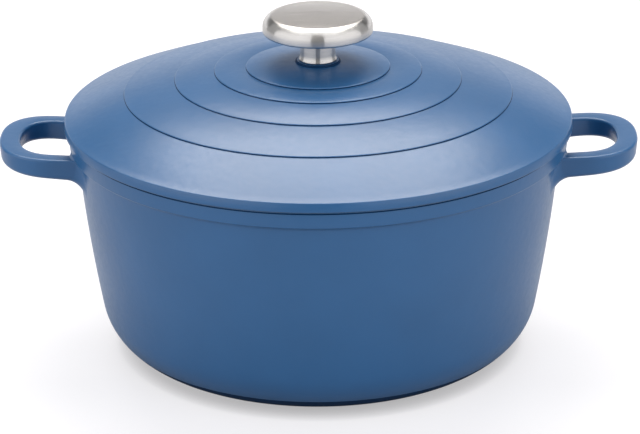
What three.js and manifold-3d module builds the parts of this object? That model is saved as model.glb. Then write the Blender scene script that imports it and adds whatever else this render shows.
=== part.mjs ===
// Enamelled cast iron dutch oven: a round pot with two loop handles, and a lift-off lid
// with stepped rings and a stainless steel knob.
// Millimetres, +Z up. The origin is the centre of the base on the table, and the loop
// handles point along +X and -X.

import * as THREE from 'three';
import { mergeVertices } from 'three/addons/utils/BufferGeometryUtils.js';
import Module from 'manifold-3d';

const wasm = await Module();
wasm.setup();

// ---------------------------------------------------------------- driving dimensions

const SEAT_GAP = 0.3;                // play between two pieces where one rests on the other
const BIG_TURN = 72;                 // facets round the outside of a casting
const INNER_TURN = 48;               // facets round the inside of a casting
const KNOB_TURN = 36;                // facets round the head of the knob
const SMALL_TURN = 28;               // facets round the stem and the fasteners

// Pot: the wall is a drafted, slightly barrelled arc that rolls into a flat base.
const RIM_HEIGHT = 122.3;            // table to the top of the rim
const COLLAR_RADIUS = 130.7;         // outside of the collar round the mouth
const COLLAR_HEIGHT = 9.0;
const COLLAR_EDGE_RADIUS = 0.8;
const COLLAR_COVE_RADIUS = 3.0;      // hollow under the collar that meets the wall
const WALL_DRAFT = THREE.MathUtils.degToRad(4.6);
const WALL_ARC_RADIUS = 880;
const WALL_THICKNESS = 4.5;
const BASE_CORNER_RADIUS = 31;
const INNER_CORNER_RADIUS = 26;
const FLOOR_THICKNESS = 5.5;
const FOOT_WIDTH = 13;               // flat ring that the pot stands on
const FOOT_RECESS = 0.8;             // how far the middle of the base is raised off the table
const RIM_EDGE_RADIUS = 1.5;

// Loop handles: each is a rounded bar bent to a D, rising a little towards its tip.
const HANDLE_REACH = 37;             // collar to the end of a handle
const HANDLE_LEG_LENGTH = 7.3;       // collar to where the straight legs begin to curve
const HANDLE_HALF_WIDTH = 34.4;      // middle of the handle to the outside of a leg
const HANDLE_LEG_WIDTH = 9.5;
const HANDLE_TIP_WIDTH = 10.8;
const HANDLE_TIP_THICKNESS = 10.2;
const HANDLE_ROOT_THICKNESS = 11.5;
const HANDLE_RISE = THREE.MathUtils.degToRad(3.3);
const HANDLE_DRAFT = 0.5;            // each flank leans in by this much at the bottom
const HANDLE_TOP_EDGE = 1.3;
const HANDLE_BOTTOM_EDGE = 3.0;
const HANDLE_BEND_POWER = 2.45;      // 2 is an ellipse, larger is squarer
const ROOT_FILLET = 10;              // under a leg, where it flows down into the wall
const ROOT_SIDE_FILLET = 4.5;        // beside a leg
const ROOT_TOP_FILLET = 1.2;         // above a leg, against the collar

// Lid: heights are above the plane that rests on the rim.
const LID_OVERHANG = 2.6;            // the bottom of the lid's edge stands out past the collar
const LID_EDGE_HEIGHT = 5.1;
const LID_EDGE_DRAFT = 0.4;          // the edge leans in by this much at its top
const LID_EDGE_RADIUS = 0.7;
const LID_THICKNESS = 4.5;
const RING_STEP = 0.9;
const RING_EDGE = 0.35;
const BAND_CROWN = 0.4;              // how far the middle of each band swells
const RINGS = [                      // the upper edge of each step, from the outside in
  { radius: 101.6, height: 17.7 },
  { radius: 75, height: 24.7 },
  { radius: 54.2, height: 29.1 },
  { radius: 37.6, height: 30.8 },
];
const BOSS_RADIUS = 11.7;
const BOSS_HEIGHT = 1.0;
const BOSS_FOOT_HEIGHT = 32.9;       // the dome beside the knob boss
const PAD_RADIUS = 11;               // flat under the lid that the washer bears on
const PAD_DEPTH = 1.6;
const SKIRT_DEPTH = 4.0;             // locating ring that hangs inside the pot's mouth
const SKIRT_THICKNESS = 3.0;
const SKIRT_CLEARANCE = 1.5;
const SKIRT_EDGE_RADIUS = 0.8;

// Knob: heights are above the top of the lid's boss.
const STEM_RADIUS = 9.3;
const STEM_FLARE = 0.7;              // the stem widens by this much at its foot
const STEM_FLARE_HEIGHT = 3.5;
const STEM_LENGTH = 15.8;
const STEM_EDGE = 0.4;
const RIVET_RADIUS = 5;              // spigot of the stem that is riveted through the plate
const RIVET_HEAD_RADIUS = 6.8;
const RIVET_HEAD_HEIGHT = 1.2;
const HEAD_RADIUS = 28.8;
const HEAD_HEIGHT = 9.5;             // lip to the edge of the top face
const HEAD_SIDE_RADIUS = 6.4;        // the side rolls over into the top face
const HEAD_EDGE_RADIUS = 1.2;        // the lower edge of the side
const HEAD_CROWN = 0.8;
const SHELL_THICKNESS = 1.2;
const LIP_RADIUS = 24.6;             // hole inside the lip that is rolled under the plate
const PLATE_THICKNESS = 1.5;
const GASKET_RIM = 1.5;              // wall of the stem left round the gasket
const GASKET_THICKNESS = 1.2;

// Screw and washers, under the lid.
const SCREW_RADIUS = 3;
const SCREW_CLEARANCE = 0.35;
const SCREW_REACH = 11;              // how far the screw goes into the stem
const SCREW_HEAD_RADIUS = 5.6;
const SCREW_HEAD_HEIGHT = 3.6;
const SCREW_HEAD_EDGE = 1.6;
const SLOT_WIDTH = 1.4;
const SLOT_DEPTH = 1.5;
const FLAT_WASHER_RADIUS = 7.5;
const FLAT_WASHER_THICKNESS = 1.2;
const LOCK_WASHER_RADIUS = 5.3;
const LOCK_WASHER_THICKNESS = 1.5;
const LOCK_WASHER_SPLIT = 1.2;
const TAPPED_END = 2;                // blind end of the stem's bore past the screw

// ---------------------------------------------------------------- shape helpers

// Points of an arc in a profile, angles in degrees from the +radius direction.
function arc(radius, height, bend, from, to, steps) {
  const points = [];
  for (let i = 0; i <= steps; i += 1) {
    const angle = THREE.MathUtils.degToRad(THREE.MathUtils.lerp(from, to, i / steps));
    points.push(at(radius + bend * Math.cos(angle), height + bend * Math.sin(angle)));
  }
  return points;
}

function at(radius, height) {
  return new THREE.Vector2(radius, height);
}

// Any closed geometry as a solid that can be joined and cut.
function solidOf(geometry) {
  const bare = geometry.clone();
  bare.deleteAttribute('normal');
  bare.deleteAttribute('uv');
  const merged = mergeVertices(bare, 1e-4);
  const corners = [];
  for (let i = 0; i < merged.index.count; i += 3) {
    const [a, b, c] = [0, 1, 2].map((k) => merged.index.getX(i + k));
    if (a !== b && b !== c && c !== a) corners.push(a, b, c);
  }
  const vertProperties = new Float32Array(merged.attributes.position.array);
  const triVerts = new Uint32Array(corners);
  return new wasm.Manifold(new wasm.Mesh({ numProp: 3, vertProperties, triVerts }));
}

function geometryOf(solid) {
  const mesh = solid.getMesh();
  const geometry = new THREE.BufferGeometry();
  geometry.setAttribute('position', new THREE.BufferAttribute(new Float32Array(mesh.vertProperties), 3));
  geometry.setIndex(new THREE.BufferAttribute(new Uint32Array(mesh.triVerts), 1));
  geometry.computeVertexNormals();
  return geometry;
}

// A profile of (radius, height) points turned about +Z. It starts and ends on the axis.
function turned(profile, facets) {
  return solidOf(new THREE.LatheGeometry(profile, facets).rotateX(Math.PI / 2));
}

function cylinder(radius, bottom, top, facets) {
  return turned([at(0, bottom), at(radius, bottom), at(radius, top), at(0, top)], facets);
}

// A flat ring with its lower face at the given height.
function ring(inner, outer, bottom, thickness, facets) {
  const disc = cylinder(outer, bottom, bottom + thickness, facets);
  return disc.subtract(cylinder(inner, bottom - 1, bottom + thickness + 1, facets));
}

// A skin through closed sections that all have as many points, with both ends capped.
function loft(sections) {
  const count = sections[0].length;
  const positions = sections.flat().flatMap((p) => [p.x, p.y, p.z]);
  const index = [];
  for (let s = 0; s + 1 < sections.length; s += 1) {
    for (let i = 0; i < count; i += 1) {
      const a = s * count + i;
      const b = s * count + ((i + 1) % count);
      index.push(a, b, b + count, a, b + count, a + count);
    }
  }
  const last = (sections.length - 1) * count;
  for (let i = 1; i + 1 < count; i += 1) {
    index.push(0, i + 1, i, last, last + i, last + i + 1);
  }
  const geometry = new THREE.BufferGeometry();
  geometry.setAttribute('position', new THREE.Float32BufferAttribute(positions, 3));
  geometry.setIndex(index);
  return geometry;
}

// ---------------------------------------------------------------- pot

const WALL_TOP_RADIUS = COLLAR_RADIUS - COLLAR_EDGE_RADIUS - COLLAR_COVE_RADIUS;
const COLLAR_BOTTOM = RIM_HEIGHT - COLLAR_HEIGHT;
const WALL_TOP = COLLAR_BOTTOM - COLLAR_COVE_RADIUS;
const WALL_CENTRE = at(
  WALL_TOP_RADIUS - WALL_ARC_RADIUS * Math.cos(WALL_DRAFT),
  WALL_TOP + WALL_ARC_RADIUS * Math.sin(WALL_DRAFT),
);

const HANDLE_TIP = COLLAR_RADIUS + HANDLE_REACH;
const HANDLE_BEND_START = COLLAR_RADIUS + HANDLE_LEG_LENGTH;

// Radius of the wall's outer face at a height, or of a face set in from it.
function wallRadius(height, inset = 0) {
  const reach = WALL_ARC_RADIUS - inset;
  return WALL_CENTRE.x + Math.sqrt(reach ** 2 - (height - WALL_CENTRE.y) ** 2);
}

// The wall from the floor's flat up to a height: a rolled corner, then the wall's arc.
function wallProfile(inset, corner, floor, top, cornerSteps, wallSteps) {
  const reach = WALL_ARC_RADIUS - inset;
  const rise = WALL_CENTRE.y - floor - corner;
  const meet = THREE.MathUtils.radToDeg(Math.asin(rise / (reach - corner)));
  const flat = WALL_CENTRE.x + Math.sqrt((reach - corner) ** 2 - rise ** 2);
  const end = THREE.MathUtils.radToDeg(Math.asin((top - WALL_CENTRE.y) / reach));
  return {
    flat,
    points: [
      ...arc(flat, floor + corner, corner, -90, -meet, cornerSteps),
      ...arc(WALL_CENTRE.x, WALL_CENTRE.y, reach, -meet, end, wallSteps).slice(1),
    ],
  };
}

function potOutside() {
  const wall = wallProfile(0, BASE_CORNER_RADIUS, 0, WALL_TOP, 6, 4);
  const cove = arc(WALL_TOP_RADIUS + COLLAR_COVE_RADIUS, WALL_TOP, COLLAR_COVE_RADIUS, 180, 90, 3);
  const edge = COLLAR_RADIUS - COLLAR_EDGE_RADIUS;
  return turned([
    at(0, FOOT_RECESS),
    at(wall.flat - FOOT_WIDTH - FOOT_RECESS, FOOT_RECESS),
    at(wall.flat - FOOT_WIDTH, 0),
    ...wall.points,
    ...cove.slice(1),
    ...arc(edge, COLLAR_BOTTOM + COLLAR_EDGE_RADIUS, COLLAR_EDGE_RADIUS, -90, 0, 2).slice(1),
    ...arc(edge, RIM_HEIGHT - COLLAR_EDGE_RADIUS, COLLAR_EDGE_RADIUS, 0, 90, 2),
    at(0, RIM_HEIGHT),
  ], BIG_TURN);
}

function potInside() {
  const lip = RIM_HEIGHT - RIM_EDGE_RADIUS;
  const mouth = wallRadius(lip, WALL_THICKNESS);
  const wall = wallProfile(WALL_THICKNESS, INNER_CORNER_RADIUS, FLOOR_THICKNESS, lip, 5, 3);
  return turned([
    at(0, FLOOR_THICKNESS),
    ...wall.points,
    ...arc(mouth + RIM_EDGE_RADIUS, lip, RIM_EDGE_RADIUS, 180, 90, 3).slice(1),
    at(mouth + RIM_EDGE_RADIUS, RIM_HEIGHT + 1),
    at(0, RIM_HEIGHT + 1),
  ], INNER_TURN);
}

// Radius of the pot's outer face at a height, collar and cove included.
function outsideRadius(height) {
  if (height <= WALL_TOP) return wallRadius(height);
  if (height >= COLLAR_BOTTOM) return COLLAR_RADIUS;
  const rise = height - WALL_TOP;
  return WALL_TOP_RADIUS + COLLAR_COVE_RADIUS - Math.sqrt(COLLAR_COVE_RADIUS ** 2 - rise ** 2);
}

// A point on the D in plan: straight legs end where the angle is 90 degrees either way.
function bend(degrees, reach, halfWidth) {
  const angle = THREE.MathUtils.degToRad(degrees);
  const power = 2 / HANDLE_BEND_POWER;
  const across = Math.sign(degrees) * Math.abs(Math.sin(angle)) ** power;
  return at(HANDLE_BEND_START + reach * Math.abs(Math.cos(angle)) ** power, halfWidth * across);
}

function handleTop(x) {
  return COLLAR_BOTTOM + (x - COLLAR_RADIUS) * Math.tan(HANDLE_RISE);
}

function handleThickness(x) {
  const along = (x - COLLAR_RADIUS) / (HANDLE_TIP - COLLAR_RADIUS);
  return THREE.MathUtils.lerp(HANDLE_ROOT_THICKNESS, HANDLE_TIP_THICKNESS, along);
}

// The bar's rounded outline: x runs from its inner to its outer side, y down from its top.
function barOutline(width, thickness) {
  const low = HANDLE_BOTTOM_EDGE;
  const high = HANDLE_TOP_EDGE;
  const base = low - thickness;
  return [
    ...arc(high, -high, high, 180, 90, 2),
    ...arc(width - high, -high, high, 90, 0, 2),
    ...arc(width - HANDLE_DRAFT - low, base, low, 0, -90, 3),
    ...arc(HANDLE_DRAFT + low, base, low, -90, -180, 3),
  ];
}

// One section of the bar between a point on its inner and one on its outer side.
function barSection([inner, outer]) {
  const width = inner.distanceTo(outer);
  const thickness = handleThickness((inner.x + outer.x) / 2);
  return barOutline(width, thickness).map((p) => {
    const plan = inner.clone().lerp(outer, p.x / width);
    return new THREE.Vector3(plan.x, plan.y, handleTop(plan.x) + p.y);
  });
}

// One ring of the flare where a leg flows into the pot. At 0 degrees the ring lies on the
// pot's face, spread out by the fillets; at 90 degrees it is the plain leg.
function rootRing(side, degrees, sink = 0) {
  const angle = THREE.MathUtils.degToRad(degrees);
  const spread = 1 - Math.sin(angle);
  const thickness = HANDLE_ROOT_THICKNESS;
  const middle = at(HANDLE_LEG_WIDTH / 2, -thickness / 2);
  return barOutline(HANDLE_LEG_WIDTH, thickness).map((p) => {
    const out = p.clone().sub(middle).divide(middle);
    const below = out.y > 0 ? ROOT_FILLET : ROOT_TOP_FILLET;
    const fillet = THREE.MathUtils.lerp(below, ROOT_SIDE_FILLET, out.x ** 2 / out.lengthSq());
    const y = side * (HANDLE_HALF_WIDTH - HANDLE_LEG_WIDTH + p.x + out.x * ROOT_SIDE_FILLET * spread);
    const z = handleTop(COLLAR_RADIUS) + p.y - out.y * below * spread;
    const wall = Math.sqrt(outsideRadius(z) ** 2 - y ** 2);
    return new THREE.Vector3(wall + fillet * (1 - Math.cos(angle)) - sink, y, z);
  });
}

// The bar runs out along one leg, round the bend and back along the other leg.
function handle() {
  const innerHalf = HANDLE_HALF_WIDTH - HANDLE_LEG_WIDTH;
  const outerReach = HANDLE_TIP - HANDLE_BEND_START;
  const bendSteps = 16;
  const root = (side) => [
    rootRing(side, 0, WALL_THICKNESS / 2),
    ...[0, 18, 36, 54, 72, 90].map((degrees) => rootRing(side, degrees)),
  ];
  const loop = [];
  for (let i = 0; i <= bendSteps; i += 1) {
    const degrees = THREE.MathUtils.lerp(-90, 90, i / bendSteps);
    const inside = bend(degrees, outerReach - HANDLE_TIP_WIDTH, innerHalf);
    loop.push(barSection([inside, bend(degrees, outerReach, HANDLE_HALF_WIDTH)]));
  }
  return loft([...root(-1), ...loop, ...root(1).reverse()]);
}

function pot() {
  const right = solidOf(handle());
  const left = solidOf(handle().rotateZ(Math.PI));
  return potOutside().add(right).add(left).subtract(potInside());
}

// ---------------------------------------------------------------- lid

const LID_RADIUS = COLLAR_RADIUS + LID_OVERHANG;
const SKIRT_RADIUS = wallRadius(RIM_HEIGHT - SKIRT_DEPTH, WALL_THICKNESS) - SKIRT_CLEARANCE;
const BOSS_TOP = BOSS_FOOT_HEIGHT + BOSS_HEIGHT;
const PAD_BOTTOM = BOSS_FOOT_HEIGHT - LID_THICKNESS - PAD_DEPTH;

// One band of the dome from its outer edge in to the foot of the next step.
function band(outerRadius, outerHeight, innerRadius, innerHeight) {
  const middle = at((outerRadius + innerRadius) / 2, (outerHeight + innerHeight) / 2 + BAND_CROWN);
  return [at(outerRadius, outerHeight), middle, at(innerRadius, innerHeight)];
}

function lidTopProfile() {
  const edgeTop = LID_RADIUS - LID_EDGE_DRAFT - LID_EDGE_RADIUS;
  const points = [];
  let radius = edgeTop;
  let height = LID_EDGE_HEIGHT;
  RINGS.forEach((step) => {
    points.push(...band(radius, height, step.radius, step.height - RING_STEP));
    points.push(at(step.radius, step.height - RING_EDGE));
    radius = step.radius - RING_EDGE;
    height = step.height;
  });
  points.push(...band(radius, height, BOSS_RADIUS, BOSS_FOOT_HEIGHT));
  points.push(at(BOSS_RADIUS, BOSS_TOP - RING_EDGE));
  points.push(at(BOSS_RADIUS - RING_EDGE, BOSS_TOP));
  return points;
}

function lidOutside() {
  const side = LID_RADIUS - LID_EDGE_DRAFT - LID_EDGE_RADIUS;
  return turned([
    at(0, -SKIRT_DEPTH),
    ...arc(SKIRT_RADIUS - SKIRT_EDGE_RADIUS, SKIRT_EDGE_RADIUS - SKIRT_DEPTH, SKIRT_EDGE_RADIUS, -90, 0, 2),
    at(SKIRT_RADIUS, 0),
    ...arc(LID_RADIUS - LID_EDGE_RADIUS, LID_EDGE_RADIUS, LID_EDGE_RADIUS, -90, 0, 2),
    ...arc(side, LID_EDGE_HEIGHT - LID_EDGE_RADIUS, LID_EDGE_RADIUS, 0, 60, 2),
    ...lidTopProfile(),
    at(0, BOSS_TOP),
  ], BIG_TURN);
}

// The hollow under the dome, which follows the dome but has no steps.
function lidInside() {
  const wall = SKIRT_RADIUS - SKIRT_THICKNESS;
  const [outerRing] = RINGS;
  const slope = (outerRing.height - LID_EDGE_HEIGHT) / (LID_RADIUS - LID_EDGE_DRAFT - outerRing.radius);
  const underRing = (step) => at(step.radius, step.height - LID_THICKNESS);
  const corner = underRing(outerRing).y - slope * (wall - outerRing.radius);
  return turned([
    at(0, -SKIRT_DEPTH - 1),
    at(wall, -SKIRT_DEPTH - 1),
    at(wall, corner - LID_THICKNESS / 2),
    at(wall - LID_THICKNESS / 4, corner - LID_THICKNESS / 8),
    ...RINGS.map(underRing),
    at(PAD_RADIUS + PAD_DEPTH, BOSS_FOOT_HEIGHT - LID_THICKNESS),
    at(PAD_RADIUS, PAD_BOTTOM),
    at(0, PAD_BOTTOM),
  ], INNER_TURN);
}

function lid() {
  const bore = cylinder(SCREW_RADIUS + SCREW_CLEARANCE, PAD_BOTTOM - 1, BOSS_TOP + 1, SMALL_TURN);
  return lidOutside().subtract(lidInside()).subtract(bore);
}

// ---------------------------------------------------------------- knob

const STEM_FOOT = SEAT_GAP;
const GASKET_RADIUS = STEM_RADIUS - GASKET_RIM - SEAT_GAP;
const STEM_SHOULDER = STEM_FOOT + STEM_LENGTH;
const PLATE_BOTTOM = STEM_SHOULDER + SEAT_GAP;
const PLATE_TOP = PLATE_BOTTOM + PLATE_THICKNESS;
const LIP_TOP = PLATE_BOTTOM - SEAT_GAP;
const LIP_BOTTOM = LIP_TOP - SHELL_THICKNESS;
const HEAD_TOP = LIP_BOTTOM + HEAD_HEIGHT;
const HEAD_SIDE_CENTRE = at(HEAD_RADIUS - HEAD_SIDE_RADIUS, HEAD_TOP - HEAD_SIDE_RADIUS);
const SCREW_BORE_TOP = SCREW_REACH + TAPPED_END;

// Radius of the head's inner face at a height: upright, then rolled over into the top.
function headRoom(height) {
  const rise = Math.max(0, height - HEAD_SIDE_CENTRE.y);
  return HEAD_SIDE_CENTRE.x + Math.sqrt((HEAD_SIDE_RADIUS - SHELL_THICKNESS) ** 2 - rise ** 2);
}

// The roll from the head's side into its top face, or a roll set in from it.
function headRoll(inset, steps) {
  return arc(HEAD_SIDE_CENTRE.x, HEAD_SIDE_CENTRE.y, HEAD_SIDE_RADIUS - inset, 0, 90, steps);
}

// Spun stainless steel cup with a crowned top and a lip rolled in under the plate.
function knobShell() {
  const innerTop = HEAD_TOP - SHELL_THICKNESS;
  const middle = HEAD_SIDE_CENTRE.x / 2;
  return turned([
    at(0, innerTop + HEAD_CROWN),
    at(middle, innerTop + HEAD_CROWN * 0.75),
    ...headRoll(SHELL_THICKNESS, 2).reverse(),
    at(HEAD_RADIUS - SHELL_THICKNESS, LIP_TOP),
    at(LIP_RADIUS, LIP_TOP),
    at(LIP_RADIUS, LIP_BOTTOM),
    ...arc(HEAD_RADIUS - HEAD_EDGE_RADIUS, LIP_BOTTOM + HEAD_EDGE_RADIUS, HEAD_EDGE_RADIUS, -90, 0, 2),
    ...headRoll(0, 5),
    at(middle, HEAD_TOP + HEAD_CROWN * 0.75),
    at(0, HEAD_TOP + HEAD_CROWN),
  ], KNOB_TURN);
}

// Round plate that closes the shell from below and carries the stem.
function knobPlate() {
  const radius = headRoom(PLATE_TOP) - SEAT_GAP;
  return ring(RIVET_RADIUS + SEAT_GAP, radius, PLATE_BOTTOM, PLATE_THICKNESS, KNOB_TURN);
}

// Turned stem with a gasket recess at its foot, a tapped bore and a riveted end.
function knobStem() {
  const rivetHead = PLATE_TOP + SEAT_GAP;
  const body = turned([
    at(0, STEM_FOOT),
    at(STEM_RADIUS + STEM_FLARE - STEM_EDGE, STEM_FOOT),
    at(STEM_RADIUS + STEM_FLARE, STEM_FOOT + STEM_EDGE),
    at(STEM_RADIUS + STEM_FLARE / 4, STEM_FOOT + STEM_FLARE_HEIGHT / 2),
    at(STEM_RADIUS, STEM_FOOT + STEM_FLARE_HEIGHT),
    at(STEM_RADIUS, STEM_SHOULDER),
    at(RIVET_RADIUS, STEM_SHOULDER),
    at(RIVET_RADIUS, rivetHead),
    at(RIVET_HEAD_RADIUS, rivetHead),
    at(RIVET_HEAD_RADIUS - RIVET_HEAD_HEIGHT / 2, rivetHead + RIVET_HEAD_HEIGHT),
    at(0, rivetHead + RIVET_HEAD_HEIGHT),
  ], SMALL_TURN);
  const recess = cylinder(GASKET_RADIUS + SEAT_GAP, -1, GASKET_THICKNESS + 2 * SEAT_GAP, SMALL_TURN);
  return body.subtract(recess).subtract(cylinder(SCREW_RADIUS + SEAT_GAP, -1, SCREW_BORE_TOP, SMALL_TURN));
}

function knobGasket() {
  return ring(SCREW_RADIUS + SCREW_CLEARANCE, GASKET_RADIUS, SEAT_GAP, GASKET_THICKNESS, SMALL_TURN);
}

// ---------------------------------------------------------------- fasteners

const FLAT_WASHER_BOTTOM = PAD_BOTTOM - BOSS_TOP - SEAT_GAP - FLAT_WASHER_THICKNESS;
const LOCK_WASHER_BOTTOM = FLAT_WASHER_BOTTOM - SEAT_GAP - LOCK_WASHER_THICKNESS;
const SCREW_HEAD_TOP = LOCK_WASHER_BOTTOM - SEAT_GAP;

function flatWasher() {
  const bore = SCREW_RADIUS + SCREW_CLEARANCE;
  return ring(bore, FLAT_WASHER_RADIUS, FLAT_WASHER_BOTTOM, FLAT_WASHER_THICKNESS, SMALL_TURN);
}

// Split spring washer, pressed flat by the tightened screw.
function lockWasher() {
  const bore = SCREW_RADIUS + SCREW_CLEARANCE;
  const whole = ring(bore, LOCK_WASHER_RADIUS, LOCK_WASHER_BOTTOM, LOCK_WASHER_THICKNESS, SMALL_TURN);
  const cut = new THREE.BoxGeometry(LOCK_WASHER_RADIUS * 2, LOCK_WASHER_SPLIT, LOCK_WASHER_THICKNESS * 2);
  cut.translate(LOCK_WASHER_RADIUS, 0, LOCK_WASHER_BOTTOM + LOCK_WASHER_THICKNESS / 2);
  return whole.subtract(solidOf(cut));
}

// Slotted pan-head screw that comes up through the lid into the stem.
function knobScrew() {
  const headBottom = SCREW_HEAD_TOP - SCREW_HEAD_HEIGHT;
  const pan = arc(
    SCREW_HEAD_RADIUS - SCREW_HEAD_EDGE, headBottom + SCREW_HEAD_EDGE, SCREW_HEAD_EDGE, -90, 0, 3,
  );
  const body = turned([
    at(0, headBottom),
    ...pan,
    at(SCREW_HEAD_RADIUS, SCREW_HEAD_TOP),
    at(SCREW_RADIUS, SCREW_HEAD_TOP),
    at(SCREW_RADIUS, SCREW_REACH - 1),
    at(SCREW_RADIUS - 1, SCREW_REACH),
    at(0, SCREW_REACH),
  ], SMALL_TURN);
  const slot = new THREE.BoxGeometry(SCREW_HEAD_RADIUS * 3, SLOT_WIDTH, SLOT_DEPTH * 2);
  slot.translate(0, 0, headBottom);
  return body.subtract(solidOf(slot));
}

// ---------------------------------------------------------------- assembly

const BLUE_ENAMEL = { color: 0x3f6f9f, roughness: 0.38, metalness: 0.25 };
const BRUSHED_STEEL = { color: 0xc4beb8, roughness: 0.32, metalness: 1 };
const POLISHED_STEEL = { color: 0xd2d0ce, roughness: 0.12, metalness: 1 };
const PLAIN_STEEL = { color: 0x9a9ca0, roughness: 0.45, metalness: 1 };
const DARK_SILICONE = { color: 0x24262a, roughness: 0.7, metalness: 0 };

function piece(name, solid, finish) {
  const mesh = new THREE.Mesh(geometryOf(solid), new THREE.MeshStandardMaterial(finish));
  mesh.name = name;
  return mesh;
}

const knob = new THREE.Group();
knob.name = 'knob_assembly';
knob.position.z = BOSS_TOP;
knob.add(
  piece('knob_shell', knobShell(), BRUSHED_STEEL),
  piece('knob_plate', knobPlate(), BRUSHED_STEEL),
  piece('knob_stem', knobStem(), POLISHED_STEEL),
  piece('knob_gasket', knobGasket(), DARK_SILICONE),
  piece('knob_screw', knobScrew(), PLAIN_STEEL),
  piece('lock_washer', lockWasher(), PLAIN_STEEL),
  piece('flat_washer', flatWasher(), PLAIN_STEEL),
);

const lidAssembly = new THREE.Group();
lidAssembly.name = 'lid_assembly';
lidAssembly.position.z = RIM_HEIGHT + SEAT_GAP;
lidAssembly.add(piece('lid', lid(), BLUE_ENAMEL), knob);

const group = new THREE.Group();
group.name = 'dutch_oven';
group.add(piece('pot', pot(), BLUE_ENAMEL), lidAssembly);

export default group;
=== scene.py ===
import math

import bmesh
import bpy
from mathutils import Matrix, Vector


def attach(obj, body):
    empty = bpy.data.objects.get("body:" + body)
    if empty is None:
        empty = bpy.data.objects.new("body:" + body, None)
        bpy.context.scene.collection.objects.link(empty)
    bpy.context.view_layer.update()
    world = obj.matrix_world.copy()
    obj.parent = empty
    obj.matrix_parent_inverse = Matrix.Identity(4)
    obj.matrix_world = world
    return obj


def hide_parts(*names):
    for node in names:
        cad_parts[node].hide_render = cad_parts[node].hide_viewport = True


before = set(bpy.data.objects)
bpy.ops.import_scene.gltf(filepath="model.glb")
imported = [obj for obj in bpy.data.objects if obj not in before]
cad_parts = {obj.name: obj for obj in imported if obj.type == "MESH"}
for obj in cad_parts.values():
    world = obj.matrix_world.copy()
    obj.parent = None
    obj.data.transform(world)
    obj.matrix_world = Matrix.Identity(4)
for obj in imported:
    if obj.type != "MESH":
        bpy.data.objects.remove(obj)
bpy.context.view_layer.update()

# ---------------------------------------------------------------- blue enamel
# The outside of both castings: blue vitreous enamel, sprayed over a dark ground coat and
# fired. It is satin and a little wavy like orange peel; a darker blue paints shade on it.

MM = 0.001
BLUE_COLOURS = (0.016, 0.099, 0.254), (0.019, 0.110, 0.280)
BLUE_ROUGHNESS = 0.28, 0.34
BLUE_SHINE = 0.60
# The shade-painted blue: a darker, less shiny blue that paints shade on the enamel.
SHADE_PAINT_COLOURS = (0.0015, 0.022, 0.068), (0.002, 0.028, 0.084)
SHADE_PAINT_ROUGHNESS = 0.5, 0.6
SHADE_PAINT_SHINE = 0.08


def shader(name):
    """A new finish: its nodes, its links and its main shader."""
    finish = bpy.data.materials.new(name)
    finish.use_nodes = True
    nodes, links = finish.node_tree.nodes, finish.node_tree.links
    return finish, nodes, links, nodes["Principled BSDF"]


def blotches(nodes, links, size, detail=3.0, stretch=(1.0, 1.0, 1.0)):
    """Noise with a grain of a given size, laid on the piece itself."""
    place = nodes.new("ShaderNodeTexCoord")
    turn = nodes.new("ShaderNodeMapping")
    turn.inputs["Scale"].default_value = stretch
    noise = nodes.new("ShaderNodeTexNoise")
    noise.inputs["Scale"].default_value = 1.0 / size
    noise.inputs["Detail"].default_value = detail
    links.new(place.outputs["Object"], turn.inputs["Vector"])
    links.new(turn.outputs["Vector"], noise.inputs["Vector"])
    return noise.outputs["Fac"]


def between(nodes, links, value, low, high, from_low=0.3, from_high=0.7):
    """A value spread over a new range. Noise lies mostly between 0.3 and 0.7."""
    spread = nodes.new("ShaderNodeMapRange")
    spread.inputs["From Min"].default_value = from_low
    spread.inputs["From Max"].default_value = from_high
    spread.inputs["To Min"].default_value = low
    spread.inputs["To Max"].default_value = high
    links.new(value, spread.inputs["Value"])
    return spread.outputs["Result"]


def tinted(nodes, links, value, first, second, base):
    """The colour of a finish, from the first to the second as a value goes from 0 to 1."""
    mix = nodes.new("ShaderNodeMix")
    mix.data_type = "RGBA"
    links.new(value, mix.inputs["Factor"])
    mix.inputs["A"].default_value = (*first, 1.0)
    mix.inputs["B"].default_value = (*second, 1.0)
    links.new(mix.outputs["Result"], base.inputs["Base Color"])


def roughened(nodes, links, value, low, high, base):
    """The roughness of a finish, spread between two values by noise."""
    links.new(between(nodes, links, value, low, high), base.inputs["Roughness"])


def dents(nodes, links, height, depth, base=None, below=None):
    """Bump of a given depth, over another bump where one is given."""
    bump = nodes.new("ShaderNodeBump")
    bump.inputs["Distance"].default_value = depth
    links.new(height, bump.inputs["Height"])
    if below is not None:
        links.new(below, bump.inputs["Normal"])
    if base is not None:
        links.new(bump.outputs["Normal"], base.inputs["Normal"])
    return bump.outputs["Normal"]


def blue_enamel():
    finish, nodes, links, base = shader("blue_enamel")
    cloud = between(nodes, links, blotches(nodes, links, 45 * MM), 0.0, 1.0)
    tinted(nodes, links, cloud, *BLUE_COLOURS, base)
    roughened(nodes, links, blotches(nodes, links, 2.5 * MM, 2.0), *BLUE_ROUGHNESS, base)
    base.inputs["Specular IOR Level"].default_value = BLUE_SHINE
    dents(nodes, links, blotches(nodes, links, 6 * MM, 1.0), 0.08 * MM, base)
    return finish


def shade_painted_enamel():
    """A darker blue painted where shade falls: on the lid's steps, round the boss, and under the
    lid's edge, the collar and the pot's foot.
    """
    finish, nodes, links, base = shader("shade_painted_enamel")
    cloud = between(nodes, links, blotches(nodes, links, 20 * MM), 0.0, 1.0)
    tinted(nodes, links, cloud, *SHADE_PAINT_COLOURS, base)
    roughened(nodes, links, blotches(nodes, links, 1.2 * MM, 4.0), *SHADE_PAINT_ROUGHNESS, base)
    base.inputs["Specular IOR Level"].default_value = SHADE_PAINT_SHINE
    dents(nodes, links, blotches(nodes, links, 0.9 * MM, 2.0), 0.012 * MM, base)
    return finish


BLUE = blue_enamel()
# a darker blue that paints shade on the enamel
SHADE_PAINTED_BLUE = shade_painted_enamel()

# ---------------------------------------------------------------- pale enamel
# The cooking side of both castings: pale satin enamel with a faint speckle, as such ovens
# commonly have.

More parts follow.
